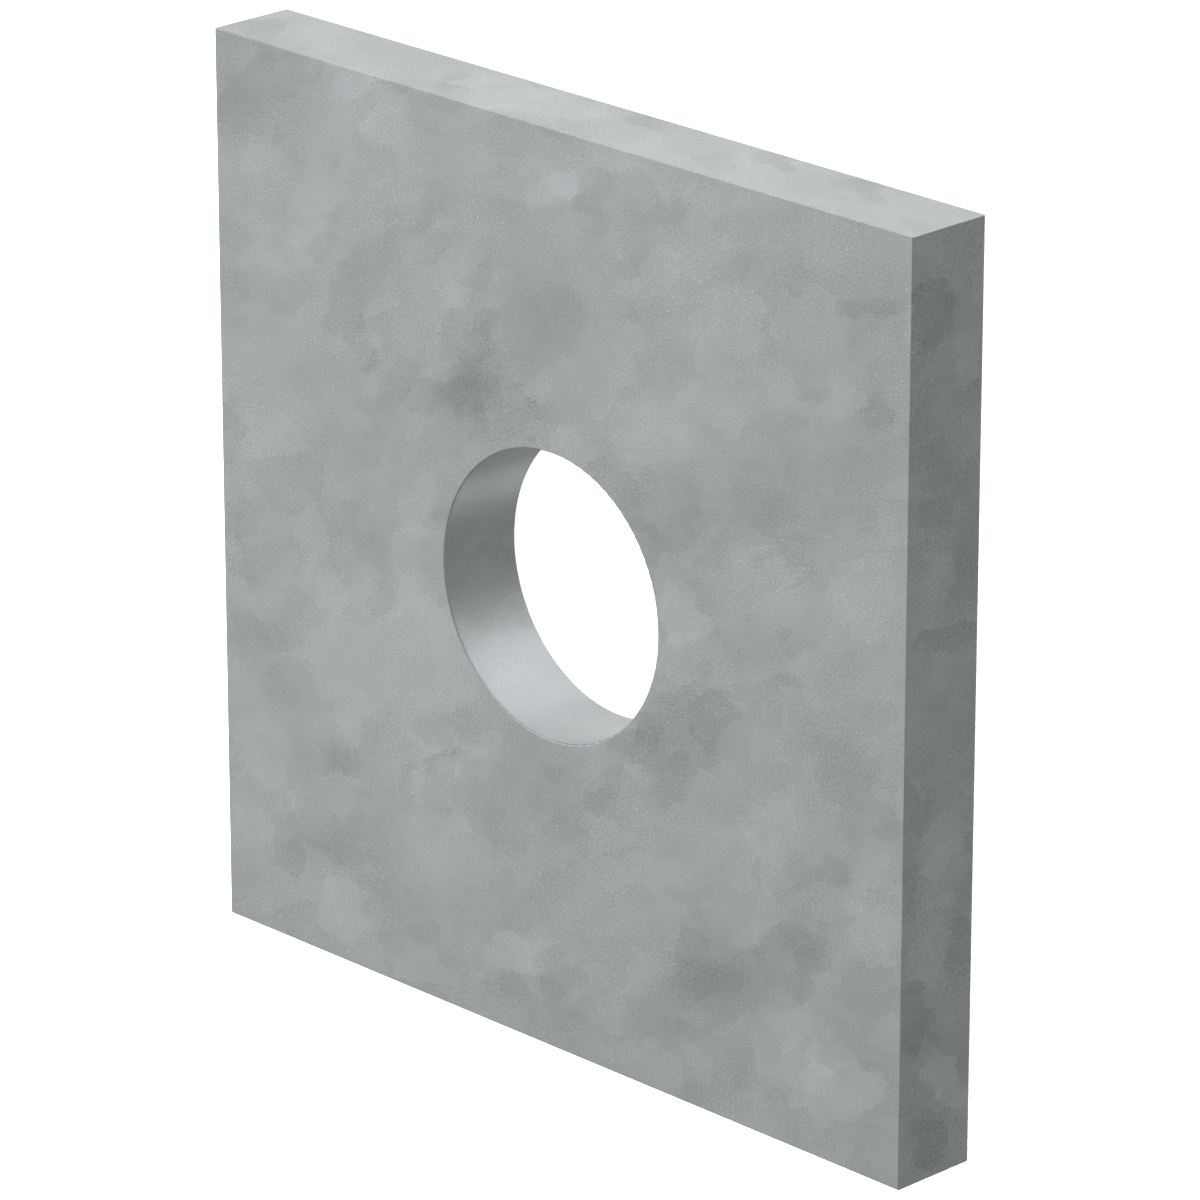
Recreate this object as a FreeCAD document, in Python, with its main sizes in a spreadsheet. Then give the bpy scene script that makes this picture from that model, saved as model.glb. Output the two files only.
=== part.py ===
"""Square plate washer: a flat square plate with one round bolt hole through its middle.

The plate lies on its bearing face. The origin is the middle of the hole on that face, +Z runs
along the bolt towards the nut, and the plate's sides run along X and Y. Lengths are in millimetres.
"""

import FreeCAD, Part

import math
import os

import Sketcher

PARTS_FOLDER = "parts"

# How a sketch numbers the points of a curve. Its origin is the start of its horizontal axis.
START_POINT, END_POINT, CENTRE_POINT = range(1, 4)
HORIZONTAL_AXIS = -1
SKETCH_ORIGIN = (HORIZONTAL_AXIS, START_POINT)

# Driving dimensions, each with the reason for its value.
SIZES = (
    ("plate_side", 76.2, "side of the square blank, 3 in"),
    ("plate_thickness", 7.7, "thickness of the flat bar that the blank is cut from"),
    ("hole_diameter", 23.8125, "bolt hole, 15/16 in, for a 7/8 in bolt"),
    ("edge_radius", 0.12, "rounding that the zinc coat gives the twelve outer edges"),
    ("rim_radius", 0.12, "rounding that the zinc coat gives the two rims of the hole"),
)


def add_sizes(doc):
    """The sheet that holds the driving dimensions: a name, a value and a reason in each row."""
    sheet = doc.addObject("Spreadsheet::Sheet", "Sizes")
    for row, (alias, value, reason) in enumerate(SIZES, start=1):
        sheet.set(f"A{row}", alias)
        sheet.set(f"B{row}", str(value))
        sheet.setAlias(f"B{row}", alias)
        sheet.set(f"C{row}", reason)
    doc.recompute()
    return sheet


def base_plane(body):
    """The body's own XY plane, which is the plane of the bearing face."""
    return next(f for f in body.Origin.OriginFeatures if f.Role == "XY_Plane")


def add_sketch(body, name):
    """An empty sketch on the plane of the bearing face."""
    sketch = body.newObject("Sketcher::SketchObject", name)
    sketch.AttachmentSupport = [(base_plane(body), "")]
    sketch.MapMode = "FlatFace"
    return sketch


def draw_square(sketch, side, side_formula):
    """A square about the sketch's origin, whose side is bound to the sheet."""
    half = side / 2
    corners = [(-half, -half), (half, -half), (half, half), (-half, half)]
    points = [FreeCAD.Vector(x, y, 0) for x, y in corners]
    for start, end in zip(points, points[1:] + points[:1]):
        sketch.addGeometry(Part.LineSegment(start, end), False)
    bottom, right, top, left = range(4)
    for line, following in ((bottom, right), (right, top), (top, left), (left, bottom)):
        sketch.addConstraint(Sketcher.Constraint("Coincident", line, END_POINT, following, START_POINT))
    for line in (bottom, top):
        sketch.addConstraint(Sketcher.Constraint("Horizontal", line))
    for line in (right, left):
        sketch.addConstraint(Sketcher.Constraint("Vertical", line))
    sketch.addConstraint(Sketcher.Constraint("Equal", bottom, right))
    opposite_corners = (bottom, START_POINT, top, START_POINT)
    sketch.addConstraint(Sketcher.Constraint("Symmetric", *opposite_corners, *SKETCH_ORIGIN))
    width = sketch.addConstraint(
        Sketcher.Constraint("DistanceX", bottom, START_POINT, bottom, END_POINT, side)
    )
    sketch.setExpression(f"Constraints[{width}]", side_formula)


def draw_circle(sketch, diameter, diameter_formula):
    """A circle about the sketch's origin, whose diameter is bound to the sheet."""
    centre = FreeCAD.Vector(0, 0, 0)
    normal = FreeCAD.Vector(0, 0, 1)
    circle = sketch.addGeometry(Part.Circle(centre, normal, diameter / 2), False)
    sketch.addConstraint(Sketcher.Constraint("Coincident", circle, CENTRE_POINT, *SKETCH_ORIGIN))
    across = sketch.addConstraint(Sketcher.Constraint("Diameter", circle, diameter))
    sketch.setExpression(f"Constraints[{across}]", diameter_formula)


def cut_blank(body, sheet):
    """The square blank, cut from flat bar."""
    outline = add_sketch(body, "plate_outline")
    draw_square(outline, sheet.plate_side, "Sizes.plate_side")
    blank = body.newObject("PartDesign::Pad", "blank")
    blank.Profile = outline
    blank.setExpression("Length", "Sizes.plate_thickness")


def punch_hole(body, sheet):
    """The straight round bolt hole, punched through the blank from one face to the other."""
    outline = add_sketch(body, "hole_outline")
    draw_circle(outline, sheet.hole_diameter, "Sizes.hole_diameter")
    hole = body.newObject("PartDesign::Pocket", "bolt_hole")
    hole.Profile = outline
    hole.Type = "ThroughAll"
    hole.Reversed = True
    return hole


def nearest_end(edge):
    """How far the nearer end of an edge is from the axis of the hole."""
    return min(math.hypot(vertex.X, vertex.Y) for vertex in edge.Vertexes)


def rims(shape):
    """The names of the two circles where the hole meets the faces."""
    return [f"Edge{n}" for n, edge in enumerate(shape.Edges, start=1) if edge.isClosed()]


def outer_edges(shape, side):
    """The names of the twelve straight edges of the square, which end at its corners."""
    return [f"Edge{n}" for n, edge in enumerate(shape.Edges, start=1) if nearest_end(edge) > side / 2]


def round_edges(body, base, edge_names, name, radius_formula):
    """Rounds the named edges of a feature."""
    rounding = body.newObject("PartDesign::Fillet", name)
    rounding.Base = (base, edge_names)
    rounding.setExpression("Radius", radius_formula)
    body.Document.recompute()
    return rounding


def make_plate_washer(doc, sheet):
    """The whole washer, which is one piece of steel."""
    body = doc.addObject("PartDesign::Body", "plate_washer")
    body.Label = "plate_washer"
    cut_blank(body, sheet)
    doc.recompute()
    hole = punch_hole(body, sheet)
    doc.recompute()
    rounded = round_edges(body, hole, rims(hole.Shape), "rounded_rims", "Sizes.rim_radius")
    outside = outer_edges(rounded.Shape, sheet.plate_side)
    round_edges(body, rounded, outside, "rounded_edges", "Sizes.edge_radius")
    body.Placement = FreeCAD.Placement()
    return body


def check_objects(doc):
    """Stops the build if any object of the document failed."""
    for item in doc.Objects:
        if "Invalid" in item.State or "Error" in item.State:
            raise RuntimeError(f"{item.Label} failed: {item.State}")


def check_shape(body):
    """Stops the build unless the body is one closed, valid solid."""
    shape = body.Shape
    if shape.isNull() or not shape.isValid() or len(shape.Solids) != 1:
        raise RuntimeError(f"{body.Label} isn't one valid solid")


def main():
    doc = FreeCAD.newDocument("SquarePlateWasher")
    sheet = add_sizes(doc)
    washer = make_plate_washer(doc, sheet)
    doc.recompute()
    check_objects(doc)
    check_shape(washer)
    os.makedirs(PARTS_FOLDER, exist_ok=True)
    washer.Shape.exportStep(os.path.join(PARTS_FOLDER, f"{washer.Label}.step"))
    print(f"{washer.Label}: {washer.Shape.Volume:.1f} mm3, {len(washer.Shape.Faces)} faces")


main()
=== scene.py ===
"""The looks of the square plate washer: matt, mottled zinc on a square steel plate that lies on a pale floor.

The washer is seen from above and from its right, with its +Y side up in the picture. Places are in metres,
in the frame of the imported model, unless a name says that they are in millimetres or in picture pixels.
"""

import math

import bpy
from mathutils import Matrix, Vector

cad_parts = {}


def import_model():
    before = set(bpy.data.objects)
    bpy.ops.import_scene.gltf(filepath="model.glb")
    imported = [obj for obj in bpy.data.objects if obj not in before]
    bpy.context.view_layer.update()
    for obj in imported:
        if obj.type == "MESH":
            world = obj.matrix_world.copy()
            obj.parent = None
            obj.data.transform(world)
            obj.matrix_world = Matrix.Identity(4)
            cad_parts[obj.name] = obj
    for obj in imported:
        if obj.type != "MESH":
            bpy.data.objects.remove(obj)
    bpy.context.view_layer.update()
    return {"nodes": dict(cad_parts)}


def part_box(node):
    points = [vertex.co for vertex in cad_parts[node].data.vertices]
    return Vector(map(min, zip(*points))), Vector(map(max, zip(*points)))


MM = 0.001
PLATE = "plate_washer"

# The camera: where it stands, the point on the plate's upper face that it looks at, and its lens.
CAMERA_PLACE = Vector((0.39093, 0.20342, 0.38520))
AIM_PLACE = Vector((0.00563, 0.00127, 0.00770))
UPRIGHT = Vector((0.0, 1.0, 0.0))
LENS_MM = 223.93
SENSOR_MM = 36.0
PICTURE_SIDE = 1200
NEAREST_SEEN, FARTHEST_SEEN = 0.01, 100.0

# The studio: how bright it is in each direction, seen from the washer. An edge is where a light starts
# and where it is full, as the cosine of the angle from its middle. The side light's second value is over 1,
# so that light grows all the way to its middle and isn't quite full there.
DIM_LIGHT = 0.35
STUDIO_LIGHTS = {
    "back": {"middle": (-0.47, 0.85, -0.24), "edge": (-0.25, 0.45), "strength": 0.71},
    "back_softbox": {"middle": (0.131, 0.743, -0.656), "edge": (0.885, 0.915), "strength": 0.18},
    "low_strip": {"middle": (0.131, -0.743, -0.656), "edge": (0.955, 0.995), "strength": 0.40},
    "side": {"middle": (-0.95, -0.10, 0.30), "edge": (0.50, 1.25), "strength": 0.71},
}
BACKDROP_TONE = 1.0

# The floor, and the lamp that lights nothing but the floor.
FLOOR_SIDE = 8.0
FLOOR_TONE = 0.9
FLOOR_ROUGHNESS = 0.9
FLOOR_GAP = 0.01 * MM
FLOOR_LAMP_SIDE = 1.6
FLOOR_LAMP_HEIGHT = 0.8
FLOOR_LAMP_POWER = 40.0

# The zinc coat. Its roughness is for a crystal of middling tone, and brighter ones are smoother.
ZINC_COLOUR = (0.575, 0.614, 0.622)
ZINC_METALLIC = 0.9
ZINC_ROUGHNESS = 0.34
ROUGHNESS_FALL = 0.15
GRAIN_DEPTH = 0.01 * MM

# How strongly the pattern shows where the surface faces along X, Y and Z.
PATTERN_SHOWS = (1.25, 0.72, 1.0)
# How strongly it shows in the hole. Between these distances from the hole's axis it grows to its full
# strength, which it has on the faces.
HOLE_SHOWS = 0.5
HOLE_SHOWS_WITHIN = (11.95 * MM, 12.1 * MM)

# The crystals are longer along X and Z than along Y, they lean up towards +X, and their edges wander and
# fray.
LONGER = 1.3
LEAN = 0.23
WANDERINGS = (
    {"width_mm": 3.0, "shift_mm": 1.8, "octaves": 1.0},
    {"width_mm": 0.35, "shift_mm": 1.0, "octaves": 1.0},
)

# The layers of spangle: the width of a crystal in millimetres, and how much its tone varies.
SPANGLE_LAYERS = {
    "large_spangle": {"width_mm": 4.8, "contrast": 0.11},
    "middle_spangle": {"width_mm": 3.4, "contrast": 0.11},
    "small_spangle": {"width_mm": 2.2, "contrast": 0.08},
}
# A layer of spangle shows where a cloudy noise is high: the width of the noise's lumps in millimetres, and
# the values of the noise between which the layer fades in.
SPANGLE_SHOWS_MM = 7.0
SPANGLE_SHOWS = (0.44, 0.62)
# The layers of cloudy mottling: width in millimetres, octaves below it, and how much the tone varies.
CLOUD_LAYERS = {
    "broad_clouds": {"width_mm": 30.0, "octaves": 1.0, "roughness": 0.5, "contrast": 0.12},
    "mottling": {"width_mm": 9.0, "octaves": 5.0, "roughness": 0.70, "contrast": 0.41},
}
# The fine grain, and the bright specks where its noise is highest.
GRAIN_MM = 0.18
GRAIN_OCTAVES = 1.0
GRAIN_CONTRAST = 0.37
SPECKS = {"from": 0.72, "to": 0.80, "tone": 0.32}
# The grain is plainer where a cloudy noise is high: the width of the noise's lumps in millimetres, its
# octaves, the values of it between which the grain grows, and the grain's least and greatest strength.
GRAIN_SHOWS_MM = 8.0
GRAIN_SHOWS_OCTAVES = 2.0
GRAIN_SHOWS = (0.36, 0.64)
GRAIN_LEAST, GRAIN_MOST = 0.5, 1.45

# The three flat faces that the photograph shows: the axis that each is square to, and its place on it.
UPPER = {"axis": 2, "level": 7.7 * MM}
BACK = {"axis": 1, "level": 38.1 * MM}
RIGHT = {"axis": 0, "level": 38.1 * MM}

# The plainest patches of each face, placed where the photograph shows them: the middle in picture
# pixels, half the length and half the width in pixels, the turn in degrees, and the tone.
UPPER_PATCHES = (
    ("dark, upper left corner", 240, 78, 80, 58, -60, -0.15),
    ("dark band, upper left", 356, 290, 66, 30, 60, -0.10),
    ("dusky, by the dark band", 415, 248, 46, 28, 0, -0.07),
    ("small dark wedge, upper left", 368, 364, 18, 10, 45, -0.13),
    ("dark, above the hole", 470, 394, 28, 24, -60, -0.11),
    ("dusky, above the hole", 520, 340, 98, 50, 35, -0.09),
    ("dusky, above the hole and to its left", 424, 398, 32, 26, 0, -0.09),
    ("dusky, at the upper rim of the hole", 500, 412, 76, 40, -15, -0.16),
    ("dusky, high above the hole", 466, 336, 56, 34, 80, -0.12),
    ("dusky, upper right", 768, 272, 52, 30, 0, -0.07),
    ("dark streak, upper right", 868, 308, 44, 16, 0, -0.10),
    ("small and dark, upper right", 877, 410, 26, 20, 90, -0.10),
    ("dusky, right of the hole", 665, 505, 60, 45, 120, -0.08),
    ("dusky, further right of the hole", 780, 495, 75, 48, 0, -0.06),
    ("dark, left edge", 245, 636, 30, 26, -40, -0.09),
    ("dark, near the left edge", 298, 624, 44, 34, 90, -0.13),
    ("dusky, left edge", 228, 434, 44, 20, 90, -0.10),
    ("dusky, left edge, lower", 240, 528, 26, 26, 0, -0.06),
    ("pale, above the small dark one", 335, 716, 52, 40, 0, 0.07),
    ("small and dark, lower left", 343, 754, 20, 20, 0, -0.08),
    ("dark, lower left", 318, 852, 54, 30, 10, -0.05),
    ("dark, right of the hole and below it", 684, 730, 66, 52, 30, -0.19),
    ("dark, further below the hole", 672, 780, 40, 26, 60, -0.10),
    ("dusky, below the hole and to its right", 636, 744, 40, 28, 20, -0.12),
    ("dark, by the right side", 846, 772, 52, 38, 110, -0.12),
    ("dusky, by the right side", 868, 828, 38, 26, 0, -0.08),
    ("pale, beside the dark streak", 740, 905, 46, 40, 0, 0.07),
    ("dusky, near the right corner", 866, 985, 42, 30, 90, -0.08),
    ("dark streak, by the right side", 826, 880, 66, 20, 40, -0.08),
    ("dark, near the bottom", 706, 966, 60, 46, 20, -0.12),
    ("dusky, near the bottom", 686, 1004, 96, 46, 20, -0.12),
    ("dark, near the bottom, further right", 790, 960, 54, 42, 50, -0.15),
    ("dusky, bottom edge", 545, 1000, 80, 30, -25, -0.06),
    ("dusky, below the hole", 578, 790, 62, 46, 0, -0.07),
    ("dusky, below the hole and to its left", 445, 725, 44, 26, 0, -0.07),
    ("bright, upper left", 366, 104, 60, 42, -30, 0.05),
    ("bright, near the top", 555, 190, 30, 22, 10, 0.12),
    ("pale, along the top edge", 588, 172, 100, 36, -17, 0.09),
    ("pale, top edge, further right", 705, 195, 32, 24, -20, 0.06),
    ("dusky, left of the dark band", 276, 287, 60, 24, 0, -0.08),
    ("pale, above the dusky one", 285, 245, 46, 26, 0, 0.05),
    ("pale, right of the dark band", 460, 275, 32, 28, 0, 0.03),
    ("bright, above the hole and to its right", 678, 425, 88, 44, 10, 0.10),
    ("pale, upper right", 770, 390, 34, 34, 0, 0.06),
    ("pale, near the top right", 728, 334, 64, 46, 70, 0.10),
    ("small and bright, upper right", 838, 402, 28, 28, 90, 0.08),
    ("pale, right side", 858, 568, 56, 46, 90, 0.10),
    ("pale streak, right side", 816, 616, 86, 34, -10, 0.09),
    ("pale, left of the hole", 380, 645, 134, 78, -8, 0.13),
    ("pale, at the left rim of the hole", 416, 548, 78, 34, 90, 0.10),
    ("pale, left edge", 258, 786, 100, 48, 90, 0.12),
    ("bright, right of the hole", 680, 618, 42, 30, -60, 0.16),
    ("bright, below the hole", 487, 760, 36, 22, 70, 0.09),
    ("pale and square, lower left", 345, 797, 30, 24, 0, 0.07),
    ("small and bright, lower left", 440, 782, 38, 26, 0, 0.15),
    ("bright, lower left", 436, 846, 66, 54, 0, 0.10),
    ("bright, bottom left", 346, 914, 36, 28, 90, 0.10),
    ("pale, above the bottom edge", 640, 868, 60, 24, 0, 0.06),
    ("pale, bottom edge", 640, 1064, 56, 26, -25, 0.09),
    ("pale, bottom edge, further left", 420, 968, 50, 24, -25, 0.09),
    ("pale, near the bottom edge", 512, 955, 34, 28, 0, 0.09),
    ("pale, by the right side", 776, 728, 48, 28, 90, 0.09),
    ("bright, lower right", 772, 834, 58, 38, 75, 0.09),
    ("bright, bottom right", 802, 1048, 58, 30, 115, 0.09),
    ("bright, bottom corner", 835, 1094, 66, 36, 0, 0.13),
    ("bright, right corner", 878, 900, 76, 38, 95, 0.10),
)
RIGHT_PATCHES = (
    ("dark, near the top", 930, 318, 46, 26, 90, -0.14),
    ("pale, right edge", 968, 368, 34, 16, 90, 0.09),
    ("dusky, upper part", 938, 486, 66, 30, 90, -0.09),
    ("small and pale, left edge", 920, 498, 14, 12, 90, 0.08),
    ("dusky, right edge", 972, 545, 46, 18, 90, -0.08),
    ("pale, upper middle", 936, 580, 40, 20, 90, 0.07),
    ("dusky, upper middle", 950, 640, 42, 20, 5, -0.12),
    ("dark, middle", 914, 808, 32, 20, 90, -0.13),
    ("pale, middle", 942, 864, 56, 34, 90, 0.12),
    ("pale, lower middle", 930, 960, 38, 22, 90, 0.07),
    ("dusky, lower middle", 962, 945, 44, 16, 90, -0.07),
    ("dark, lower end", 918, 1030, 48, 26, 90, -0.15),
    ("bright, lower end", 944, 1078, 54, 23, 120, 0.16),
    ("dark, bottom end", 928, 1142, 46, 26, -60, -0.11),
)
BACK_PATCHES = (
    ("dusky, left end", 254, 27, 46, 18, -10, -0.10),
    ("pale, left part", 336, 42, 36, 16, -17, 0.07),
    ("small and dark, left part", 447, 83, 15, 7, 60, -0.12),
    ("bright, left part", 506, 94, 72, 20, -17, 0.12),
    ("pale, middle", 580, 108, 34, 14, -17, 0.08),
    ("dark, middle", 652, 123, 32, 11, -17, -0.18),
    ("dusky, right of the middle", 716, 150, 24, 12, -17, -0.03),
    ("pale, right of the middle", 742, 166, 20, 12, 40, 0.06),
    ("dark, right part", 772, 158, 26, 14, -17, -0.20),
    ("dusky, right part", 808, 184, 54, 18, -17, -0.08),
    ("dark, further right", 872, 190, 26, 11, -17, -0.14),
    ("small and dark, right end", 916, 226, 18, 9, -17, -0.12),
)
# Where a patch is full and where it ends, as the squared distance from its middle in parts of its own size.
# Then the width of the crystals that its edge keeps to, and how closely: from 0, not at all, to 1, entirely.
PATCH_FULL, PATCH_END = 0.2, 1.0
PATCH_CRYSTAL_MM = 2.0
PATCH_IN_CRYSTALS = 0.5


def put(socket, value):
    """Links a socket to another node's output, or else sets it to a plain value."""
    if isinstance(value, bpy.types.NodeSocket):
        socket.id_data.links.new(value, socket)
    else:
        socket.default_value = value


def calculate(tree, operation, *values):
    """A sum on numbers."""
    node = tree.nodes.new("ShaderNodeMath")
    node.operation = operation
    for socket, value in zip(node.inputs, values):
        put(socket, value)
    return node.outputs["Value"]


def calculate_vector(tree, operation, *values):
    """A sum on vectors. Its result is a vector, except for a dot product or a length."""
    node = tree.nodes.new("ShaderNodeVectorMath")
    node.operation = operation
    for socket, value in zip(node.inputs, values):
        put(socket, value)
    return node.outputs["Value" if operation in ("DOT_PRODUCT", "LENGTH") else "Vector"]


def scaled(tree, vector, factor):
    """A vector times a number."""
    node = tree.nodes.new("ShaderNodeVectorMath")
    node.operation = "SCALE"
    put(node.inputs["Vector"], vector)
    put(node.inputs["Scale"], factor)
    return node.outputs["Vector"]


def fade(tree, value, start, end, low=0.0, high=1.0):
    """Goes smoothly from low to high while the value goes from start to end."""
    node = tree.nodes.new("ShaderNodeMapRange")
    node.interpolation_type = "SMOOTHSTEP"
    put(node.inputs["Value"], value)
    put(node.inputs["From Min"], start)
    put(node.inputs["From Max"], end)
    put(node.inputs["To Min"], low)
    put(node.inputs["To Max"], high)
    return node.outputs["Result"]


def mixed(tree, kind, factor, first, second):
    """Goes from the first value to the second as the factor goes from 0 to 1."""
    node = tree.nodes.new("ShaderNodeMix")
    node.data_type = kind
    put(node.inputs[0], factor)
    enabled = [socket for socket in node.inputs if socket.enabled]
    put(enabled[1], first)
    put(enabled[2], second)
    return next(socket for socket in node.outputs if socket.enabled)


def noise(tree, place, width_mm, octaves=0.0, roughness=0.6):
    """Cloudy noise whose lumps are about width_mm apart. Its nodes' outputs are Fac and Color."""
    node = tree.nodes.new("ShaderNodeTexNoise")
    put(node.inputs["Vector"], place)
    put(node.inputs["Scale"], 1.0 / width_mm)
    put(node.inputs["Detail"], octaves)
    put(node.inputs["Roughness"], roughness)
    return node


def crystals(tree, place, width_mm):
    """Crystals of about width_mm with crisp edges. Its node's outputs are a random Color and a Position."""
    node = tree.nodes.new("ShaderNodeTexVoronoi")
    put(node.inputs["Vector"], place)
    put(node.inputs["Scale"], 1.0 / width_mm)
    return node


def centred(tree, value, contrast):
    """A tone from 0 to 1, turned into a change of brightness about 0."""
    return calculate(tree, "MULTIPLY", calculate(tree, "SUBTRACT", value, 0.5), contrast)


def add_camera():
    """The camera, at the photograph's place and with its lens. It has no roll."""
    data = bpy.data.cameras.new("camera")
    data.sensor_width = SENSOR_MM
    data.lens = LENS_MM
    data.clip_start = NEAREST_SEEN
    data.clip_end = FARTHEST_SEEN
    camera = bpy.data.objects.new("camera", data)
    sight = (AIM_PLACE - CAMERA_PLACE).normalized()
    right = sight.cross(UPRIGHT).normalized()
    turn = Matrix((right, right.cross(sight), -sight)).transposed().to_4x4()
    camera.matrix_world = Matrix.Translation(CAMERA_PLACE) @ turn
    bpy.context.scene.collection.objects.link(camera)
    bpy.context.scene.camera = camera
    return camera


def add_studio_light():
    """Soft light from all round, with brighter fields. The camera sees only a plain pale backdrop."""
    world = bpy.data.worlds.new("studio")
    bpy.context.scene.world = world
    world.use_nodes = True
    tree = world.node_tree
    tree.nodes.clear()
    direction = tree.nodes.new("ShaderNodeTexCoord").outputs["Generated"]
    light = DIM_LIGHT
    for name, field in STUDIO_LIGHTS.items():
        nearness = calculate_vector(tree, "DOT_PRODUCT", direction, field["middle"])
        glow = fade(tree, nearness, *field["edge"], 0.0, field["strength"])
        glow.node.label = name
        light = calculate(tree, "ADD", light, glow)
    seen = tree.nodes.new("ShaderNodeLightPath").outputs["Is Camera Ray"]
    background = tree.nodes.new("ShaderNodeBackground")
    put(background.inputs["Strength"], mixed(tree, "FLOAT", seen, light, BACKDROP_TONE))
    output = tree.nodes.new("ShaderNodeOutputWorld")
    put(output.inputs["Surface"], background.outputs["Background"])


def floor_material():
    """Pale matt paint."""
    material = bpy.data.materials.new("pale_floor")
    material.use_nodes = True
    shader = material.node_tree.nodes["Principled BSDF"]
    shader.inputs["Base Color"].default_value = (FLOOR_TONE, FLOOR_TONE, FLOOR_TONE, 1.0)
    shader.inputs["Roughness"].default_value = FLOOR_ROUGHNESS
    shader.inputs["Specular IOR Level"].default_value = 0.0
    return material


def add_floor():
    """The pale floor that the washer lies on. It throws no light back on the washer."""
    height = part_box(PLATE)[0].z - FLOOR_GAP
    half = FLOOR_SIDE / 2
    corners = [(-half, -half, height), (half, -half, height), (half, half, height), (-half, half, height)]
    mesh = bpy.data.meshes.new("floor")
    mesh.from_pydata(corners, [], [(0, 1, 2, 3)])
    mesh.materials.append(floor_material())
    floor = bpy.data.objects.new("floor", mesh)
    bpy.context.scene.collection.objects.link(floor)
    floor.visible_diffuse = False
    floor.visible_glossy = False
    floor.visible_shadow = False
    return floor


def add_floor_lamp(floor):
    """A large soft lamp overhead that lights only the floor. The washer still shades the floor from it."""
    data = bpy.data.lights.new("floor_lamp", "AREA")
    data.shape = "SQUARE"
    data.size = FLOOR_LAMP_SIDE
    data.energy = FLOOR_LAMP_POWER
    lamp = bpy.data.objects.new("floor_lamp", data)
    lamp.location = (0.0, 0.0, FLOOR_LAMP_HEIGHT)
    bpy.context.scene.collection.objects.link(lamp)
    lit = bpy.data.collections.new("lit_by_floor_lamp")
    lit.objects.link(floor)
    lamp.light_linking.receiver_collection = lit


def in_pattern(place):
    """A place in the frame, in the leaning millimetres that the zinc's pattern is measured in."""
    return Vector((place.x / LONGER, place.y - place.x * LEAN, place.z / LONGER)) / MM


def pattern_place(tree):
    """Where a shaded point is, in the leaning millimetres that the zinc's pattern is measured in."""
    axes = tree.nodes.new("ShaderNodeSeparateXYZ")
    put(axes.inputs[0], tree.nodes.new("ShaderNodeTexCoord").outputs["Object"])
    place = Vector((0.0, 0.0, 0.0))
    for name, direction in (("X", (1.0, 0.0, 0.0)), ("Y", (0.0, 1.0, 0.0)), ("Z", (0.0, 0.0, 1.0))):
        step = scaled(tree, in_pattern(Vector(direction)), axes.outputs[name])
        place = calculate_vector(tree, "ADD", place, step)
    return place


def wandering(tree, place):
    """The place, shifted this way and that, so that edges that follow it wander and fray."""
    moved = place
    for wander in WANDERINGS:
        shift = noise(tree, place, wander["width_mm"], wander["octaves"]).outputs["Color"]
        shift = calculate_vector(tree, "SUBTRACT", shift, (0.5, 0.5, 0.5))
        moved = calculate_vector(tree, "ADD", moved, scaled(tree, shift, wander["shift_mm"]))
    return moved


def add_spangle(tree, place, change):
    """Adds the layers of zinc crystals. Each shows in some places and melts away in others."""
    shows = tree.nodes.new("ShaderNodeSeparateColor")
    put(shows.inputs["Color"], noise(tree, place, SPANGLE_SHOWS_MM).outputs["Color"])
    for where, (name, layer) in zip(shows.outputs, SPANGLE_LAYERS.items()):
        spangle = crystals(tree, place, layer["width_mm"])
        spangle.label = name
        random = tree.nodes.new("ShaderNodeSeparateColor")
        put(random.inputs["Color"], spangle.outputs["Color"])
        crystal = centred(tree, random.outputs["Red"], layer["contrast"])
        change = calculate(tree, "MULTIPLY_ADD", crystal, fade(tree, where, *SPANGLE_SHOWS), change)
    return change


def add_clouds(tree, place, change):
    """Adds the layers of cloudy mottling."""
    for name, layer in CLOUD_LAYERS.items():
        clouds = noise(tree, place, layer["width_mm"], layer["octaves"], layer["roughness"])
        clouds.label = name
        change = calculate(tree, "ADD", change, centred(tree, clouds.outputs["Fac"], layer["contrast"]))
    return change


def add_grain(tree, place, change, grain):
    """Adds the fine grain and its bright specks."""
    where = noise(tree, place, GRAIN_SHOWS_MM, GRAIN_SHOWS_OCTAVES).outputs["Fac"]
    strength = fade(tree, where, *GRAIN_SHOWS, GRAIN_LEAST, GRAIN_MOST)
    specks = fade(tree, grain, SPECKS["from"], SPECKS["to"], 0.0, SPECKS["tone"])
    tone = calculate(tree, "ADD", centred(tree, grain, GRAIN_CONTRAST), specks)
    return calculate(tree, "MULTIPLY_ADD", tone, strength, change)


def seen_at(camera, face, pixel_x, pixel_y):
    """The place on a flat face of the plate that the camera sees at a pixel of the picture."""
    lens_pixels = LENS_MM / SENSOR_MM * PICTURE_SIDE
    across = (pixel_x - PICTURE_SIDE / 2) / lens_pixels
    upwards = (PICTURE_SIDE / 2 - pixel_y) / lens_pixels
    ray = camera.matrix_world.to_3x3() @ Vector((across, upwards, -1.0))
    steps = (face["level"] - CAMERA_PLACE[face["axis"]]) / ray[face["axis"]]
    return CAMERA_PLACE + ray * steps


def face_place(place, face):
    """A place in the pattern, with a 1 instead of its coordinate along the axis of a face."""
    flat = place.copy()
    flat[face["axis"]] = 1.0
    return flat


def patch_directions(camera, face, pixel_x, pixel_y, half_length, half_width, turn):
    """The two vectors whose dot products with a face place say how far it is along and across a patch.

    They give 0 in the patch's middle, and 1 at its tip or at its side.
    """
    cosine = math.cos(math.radians(turn))
    sine = math.sin(math.radians(turn))
    middle = (pixel_x, pixel_y)
    tip = (pixel_x + half_length * cosine, pixel_y - half_length * sine)
    side = (pixel_x + half_width * sine, pixel_y + half_width * cosine)
    points = [face_place(in_pattern(seen_at(camera, face, *pixel)), face) for pixel in (middle, tip, side)]
    _, along, across = Matrix(points).transposed().inverted()
    return along, across


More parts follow.
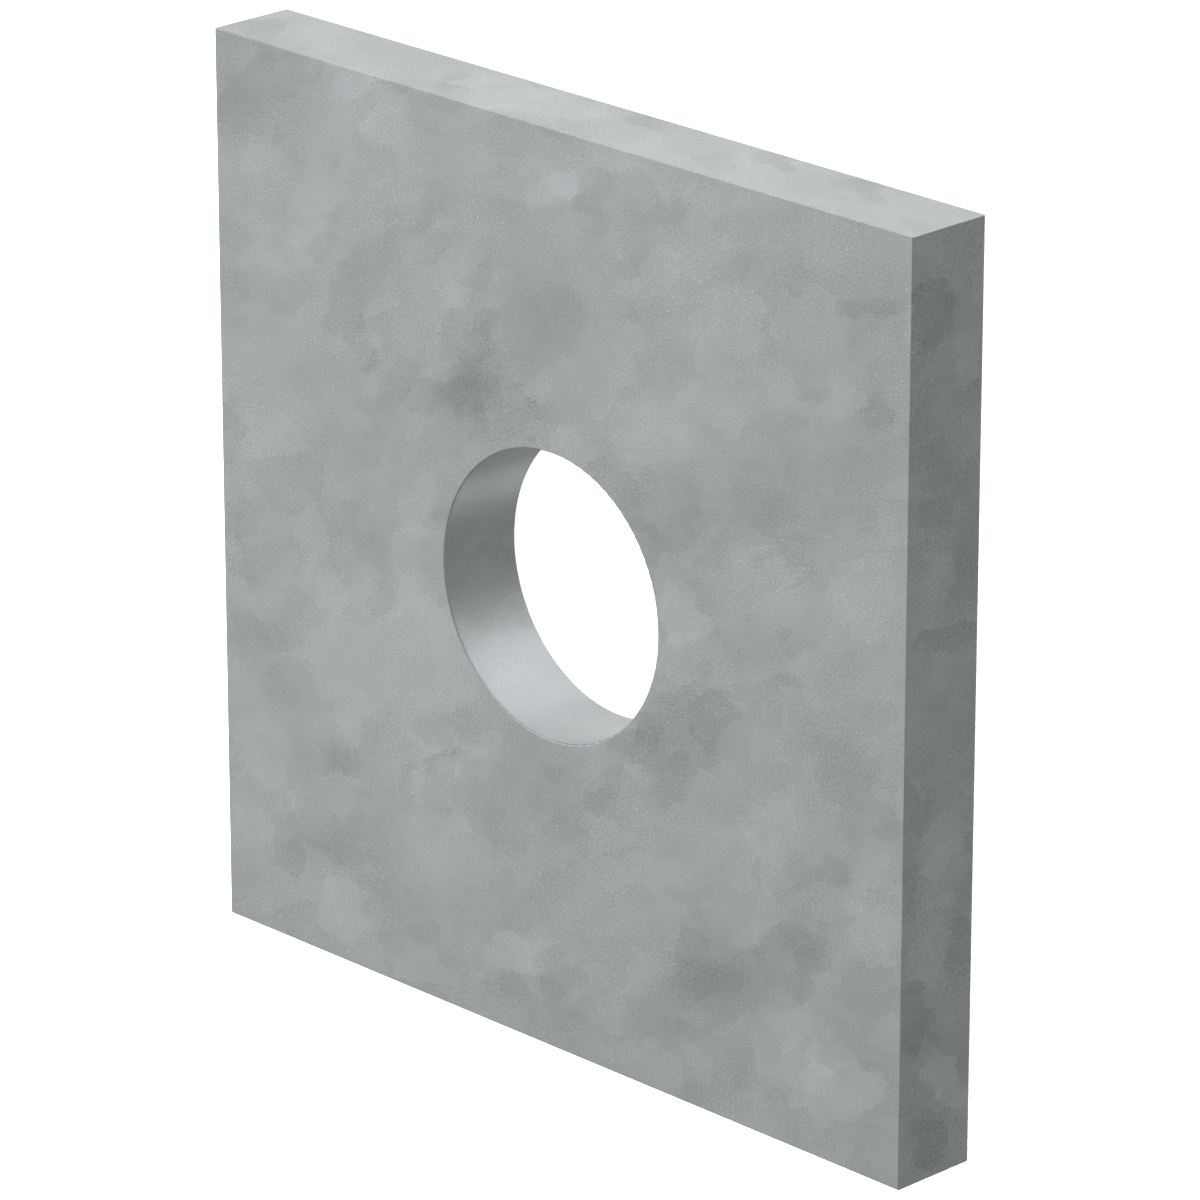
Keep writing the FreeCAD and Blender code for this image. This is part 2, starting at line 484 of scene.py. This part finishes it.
def add_patch(tree, flat_place, change, directions, name, tone):
    """Adds one patch to a face."""
    squared = 0.0
    for direction in directions:
        distance = calculate_vector(tree, "DOT_PRODUCT", flat_place, direction)
        squared = calculate(tree, "MULTIPLY_ADD", distance, distance, squared)
    shade = fade(tree, squared, PATCH_FULL, PATCH_END, tone, 0.0)
    shade.node.label = name
    return calculate(tree, "ADD", shade, change)


def add_patches(tree, place, change, camera):
    """Adds the patches to the faces that the photograph shows, and the same ones to the faces opposite.

    Their edges keep partly to the edges of whole crystals.
    """
    middle = crystals(tree, place, PATCH_CRYSTAL_MM).outputs["Position"]
    patch_place = mixed(tree, "VECTOR", PATCH_IN_CRYSTALS, place, middle)
    facing = tree.nodes.new("ShaderNodeSeparateXYZ")
    put(facing.inputs[0], tree.nodes.new("ShaderNodeTexCoord").outputs["Normal"])
    for face, patches in ((UPPER, UPPER_PATCHES), (RIGHT, RIGHT_PATCHES), (BACK, BACK_PATCHES)):
        kept = face_place(Vector((0.0, 0.0, 0.0)), face)
        flat_place = calculate_vector(tree, "MULTIPLY_ADD", patch_place, Vector((1.0, 1.0, 1.0)) - kept, kept)
        total = 0.0
        for name, *shape, tone in patches:
            directions = patch_directions(camera, face, *shape)
            total = add_patch(tree, flat_place, total, directions, name, tone)
        shows = calculate(tree, "ABSOLUTE", facing.outputs[face["axis"]])
        change = calculate(tree, "MULTIPLY_ADD", total, shows, change)
    return change


def by_place(tree, change):
    """A change of brightness, made stronger or weaker by where the surface faces, and weaker in the hole."""
    coordinates = tree.nodes.new("ShaderNodeTexCoord")
    facing = coordinates.outputs["Normal"]
    shares = calculate_vector(tree, "MULTIPLY", facing, facing)
    change = calculate(tree, "MULTIPLY", change, calculate_vector(tree, "DOT_PRODUCT", shares, PATTERN_SHOWS))
    flat = calculate_vector(tree, "MULTIPLY", coordinates.outputs["Object"], (1.0, 1.0, 0.0))
    from_axis = calculate_vector(tree, "LENGTH", flat)
    return calculate(tree, "MULTIPLY", change, fade(tree, from_axis, *HOLE_SHOWS_WITHIN, HOLE_SHOWS, 1.0))


def zinc_material(camera):
    """Hot-dip zinc, gone matt, with faint spangle."""
    material = bpy.data.materials.new("galvanised_steel")
    material.use_nodes = True
    tree = material.node_tree
    shader = tree.nodes["Principled BSDF"]
    straight = pattern_place(tree)
    place = wandering(tree, straight)
    change = add_spangle(tree, place, 0.0)
    change = add_clouds(tree, straight, change)
    change = add_patches(tree, place, change, camera)
    grain = noise(tree, straight, GRAIN_MM, GRAIN_OCTAVES).outputs["Fac"]
    change = by_place(tree, add_grain(tree, straight, change, grain))
    bump = tree.nodes.new("ShaderNodeBump")
    put(bump.inputs["Height"], grain)
    bump.inputs["Distance"].default_value = GRAIN_DEPTH
    put(shader.inputs["Normal"], bump.outputs["Normal"])
    put(shader.inputs["Base Color"], scaled(tree, ZINC_COLOUR, calculate(tree, "ADD", change, 1.0)))
    put(shader.inputs["Roughness"], calculate(tree, "MULTIPLY_ADD", change, -ROUGHNESS_FALL, ZINC_ROUGHNESS))
    shader.inputs["Metallic"].default_value = ZINC_METALLIC
    return material


def main():
    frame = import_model()
    bpy.context.scene.view_settings.view_transform = "Standard"
    bpy.context.scene.view_settings.look = "None"
    camera = add_camera()
    add_studio_light()
    floor = add_floor()
    add_floor_lamp(floor)
    frame["nodes"][PLATE].material_slots[0].material = zinc_material(camera)


main()
